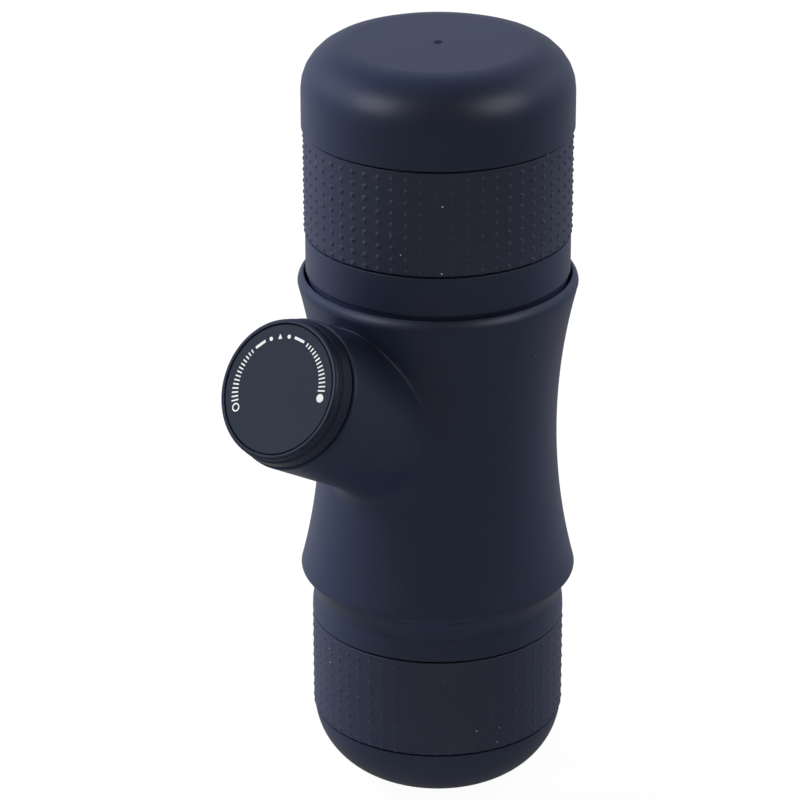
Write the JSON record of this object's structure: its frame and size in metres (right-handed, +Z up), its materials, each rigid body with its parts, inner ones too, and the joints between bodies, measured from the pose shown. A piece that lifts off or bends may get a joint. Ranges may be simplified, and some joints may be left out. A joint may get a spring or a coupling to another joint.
{
  "type": "handheld manual espresso maker",
  "caption": "Handheld manual espresso maker: hourglass pump body with a tilted locking pump knob, a drinking cup on top and a screw-on water tank below.",
  "frame": {"origin": "centre of the flat foot of the water tank, on the body's axis", "axes": "+Z up along the body's axis, from the tank to the cup; the tilted pump points towards -Y and up; +X to the right when the knob faces the viewer"},
  "size_m": [0.0616, 0.0905, 0.1729],
  "materials": {
    "shell": "fine matte moulded plastic, slate navy",
    "grip": "matte plastic sleeve with rows of small raised dots",
    "knob": "satin moulded plastic",
    "knob_disc": "fine satin disc",
    "print": "white print on the knob disc",
    "pump_plastic": "fine matte engineering plastic",
    "clear_plastic": "smooth pale plastic",
    "steel": "brushed stainless steel",
    "seal": "soft silicone rubber"
  },
  "bodies": {
    "main_body": {"body_shell": "shell", "tank_collar": "steel", "tank_gasket": "seal", "pump_deck": "pump_plastic", "deck_screws": "steel", "vent_valve": "seal", "valve_block": "pump_plastic", "inlet_valve_seat": "clear_plastic", "inlet_valve_spring": "steel", "outlet_valve_seat": "clear_plastic", "outlet_valve_spring": "steel", "suction_tube": "clear_plastic", "suction_strainer": "clear_plastic", "delivery_tube": "clear_plastic", "pump_cylinder": "clear_plastic", "cylinder_o_ring": "seal", "rod_guide": "pump_plastic", "rod_seal": "seal", "return_spring": "steel", "lock_ring": "pump_plastic", "brew_chamber": "pump_plastic", "shower_screen": "steel", "basket_gasket": "seal"},
    "inlet_ball": {"inlet_valve_ball": "steel"},
    "outlet_ball": {"outlet_valve_ball": "steel"},
    "piston": {"piston_rod": "steel", "piston_head": "pump_plastic", "piston_seal": "seal", "knob_screw": "steel"},
    "knob": {"knob_shell": "knob", "knob_face": "knob_disc"},
    "basket": {"filter_basket": "steel", "basket_screen": "steel"},
    "outlet": {"outlet_head": "shell", "press_ring": "pump_plastic", "outlet_gasket": "seal", "spout_nozzle": "steel", "cup_retaining_ring": "seal"},
    "cup": {"drinking_cup": "shell", "cup_grip_band": "grip"},
    "tank": {"water_tank": "shell", "tank_grip_band": "grip"}
  },
  "joints": [
    {"name": "pump_stroke", "type": "slide", "parent": "main_body", "child": "piston", "axis": [0, -0.866, 0.5], "range_m": [0, 0.016]},
    {"name": "knob_turn", "type": "hinge", "parent": "piston", "child": "knob", "pos_m": [0, 0, 0.0795], "axis": [0, -0.866, 0.5], "range_deg": [0, 45]},
    {"name": "basket_lift", "type": "slide", "parent": "main_body", "child": "basket", "axis": [0, 0, 1], "range_m": [0, 0.03]},
    {"name": "outlet_head_lift", "type": "slide", "parent": "basket", "child": "outlet", "axis": [0, 0, 1], "range_m": [0, 0.03]},
    {"name": "cup_lift", "type": "slide", "parent": "outlet", "child": "cup", "axis": [0, 0, 1], "range_m": [0, 0.045]},
    {"name": "tank_lower", "type": "slide", "parent": "main_body", "child": "tank", "axis": [0, 0, -1], "range_m": [0, 0.06]},
    {"name": "inlet_valve_lift", "type": "slide", "parent": "main_body", "child": "inlet_ball", "axis": [0, 0, 1], "range_m": [0, 0.0012], "deforming": ["inlet_valve_spring"]},
    {"name": "outlet_valve_lift", "type": "slide", "parent": "main_body", "child": "outlet_ball", "axis": [0, 0, 1], "range_m": [0, 0.0012], "deforming": ["outlet_valve_spring"]}
  ]
}
